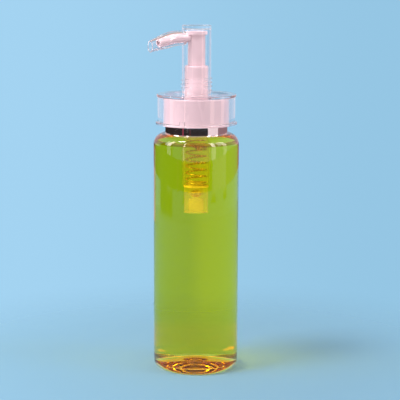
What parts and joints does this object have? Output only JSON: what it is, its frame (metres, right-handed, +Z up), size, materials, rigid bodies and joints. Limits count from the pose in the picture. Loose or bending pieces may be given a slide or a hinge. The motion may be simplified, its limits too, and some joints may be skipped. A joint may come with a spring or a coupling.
{
  "type": "pump oil bottle",
  "caption": "Clear straight bottle of golden oil with a lock-down dispenser pump: clear head with a drooping nozzle, pink core and closure, chrome trim ring, spring-returned piston.",
  "frame": {"origin": "centre of the foot ring, on the surface that the bottle stands on", "axes": "+Z up along the bottle and pump axis, nozzle along -X at rest"},
  "size_m": [0.0493, 0.045, 0.1834],
  "materials": {
    "clear_plastic": "clear, polished",
    "pink_plastic": "moulded gloss",
    "natural_plastic": "translucent, as moulded",
    "golden_oil": "clear liquid",
    "chrome_trim": "bright plated",
    "seal_foam": "matt",
    "steel": "drawn"
  },
  "bodies": {
    "bottle": {"bottle": "clear_plastic", "oil": "golden_oil", "neck_ring": "chrome_trim"},
    "pump": {"pump_housing": "natural_plastic", "lock_ring": "pink_plastic", "gasket": "seal_foam", "dip_tube": "natural_plastic", "ball_cage": "natural_plastic", "return_spring": "steel"},
    "closure": {"closure": "pink_plastic", "collar_cover": "clear_plastic"},
    "plunger": {"stem": "natural_plastic", "stem_plug": "natural_plastic"},
    "piston": {"piston": "natural_plastic"},
    "inlet_ball": {"inlet_ball": "steel"},
    "actuator": {"actuator_shell": "clear_plastic", "actuator_core": "pink_plastic", "nozzle_insert": "pink_plastic"}
  },
  "joints": [
    {"name": "pump_lift", "type": "slide", "parent": "bottle", "child": "pump", "axis": [0, 0, 1], "range_m": [0, 0.00635]},
    {"name": "closure_turn", "type": "hinge", "parent": "pump", "child": "closure", "pos_m": [0, 0, 0.14], "axis": [0, 0, 1], "range_deg": [0, 540]},
    {"name": "press", "type": "slide", "parent": "pump", "child": "plunger", "axis": [0, 0, 1], "range_m": [-0.012, 0], "stiffness_N_per_m": 500, "springref_m": 0.008, "deforming": ["return_spring"]},
    {"name": "head_swivel", "type": "hinge", "parent": "plunger", "child": "actuator", "pos_m": [0, 0, 0.16], "axis": [0, 0, 1], "continuous": true},
    {"name": "piston_float", "type": "slide", "parent": "plunger", "child": "piston", "axis": [0, 0, 1], "range_m": [0, 0.0008]},
    {"name": "inlet_ball_lift", "type": "slide", "parent": "pump", "child": "inlet_ball", "axis": [0, 0, 1], "range_m": [0, 0.0012]}
  ],
  "couplings": [
    {"joint": "pump_lift", "follows": "closure_turn", "m_per_rad": 0.00067322}
  ]
}
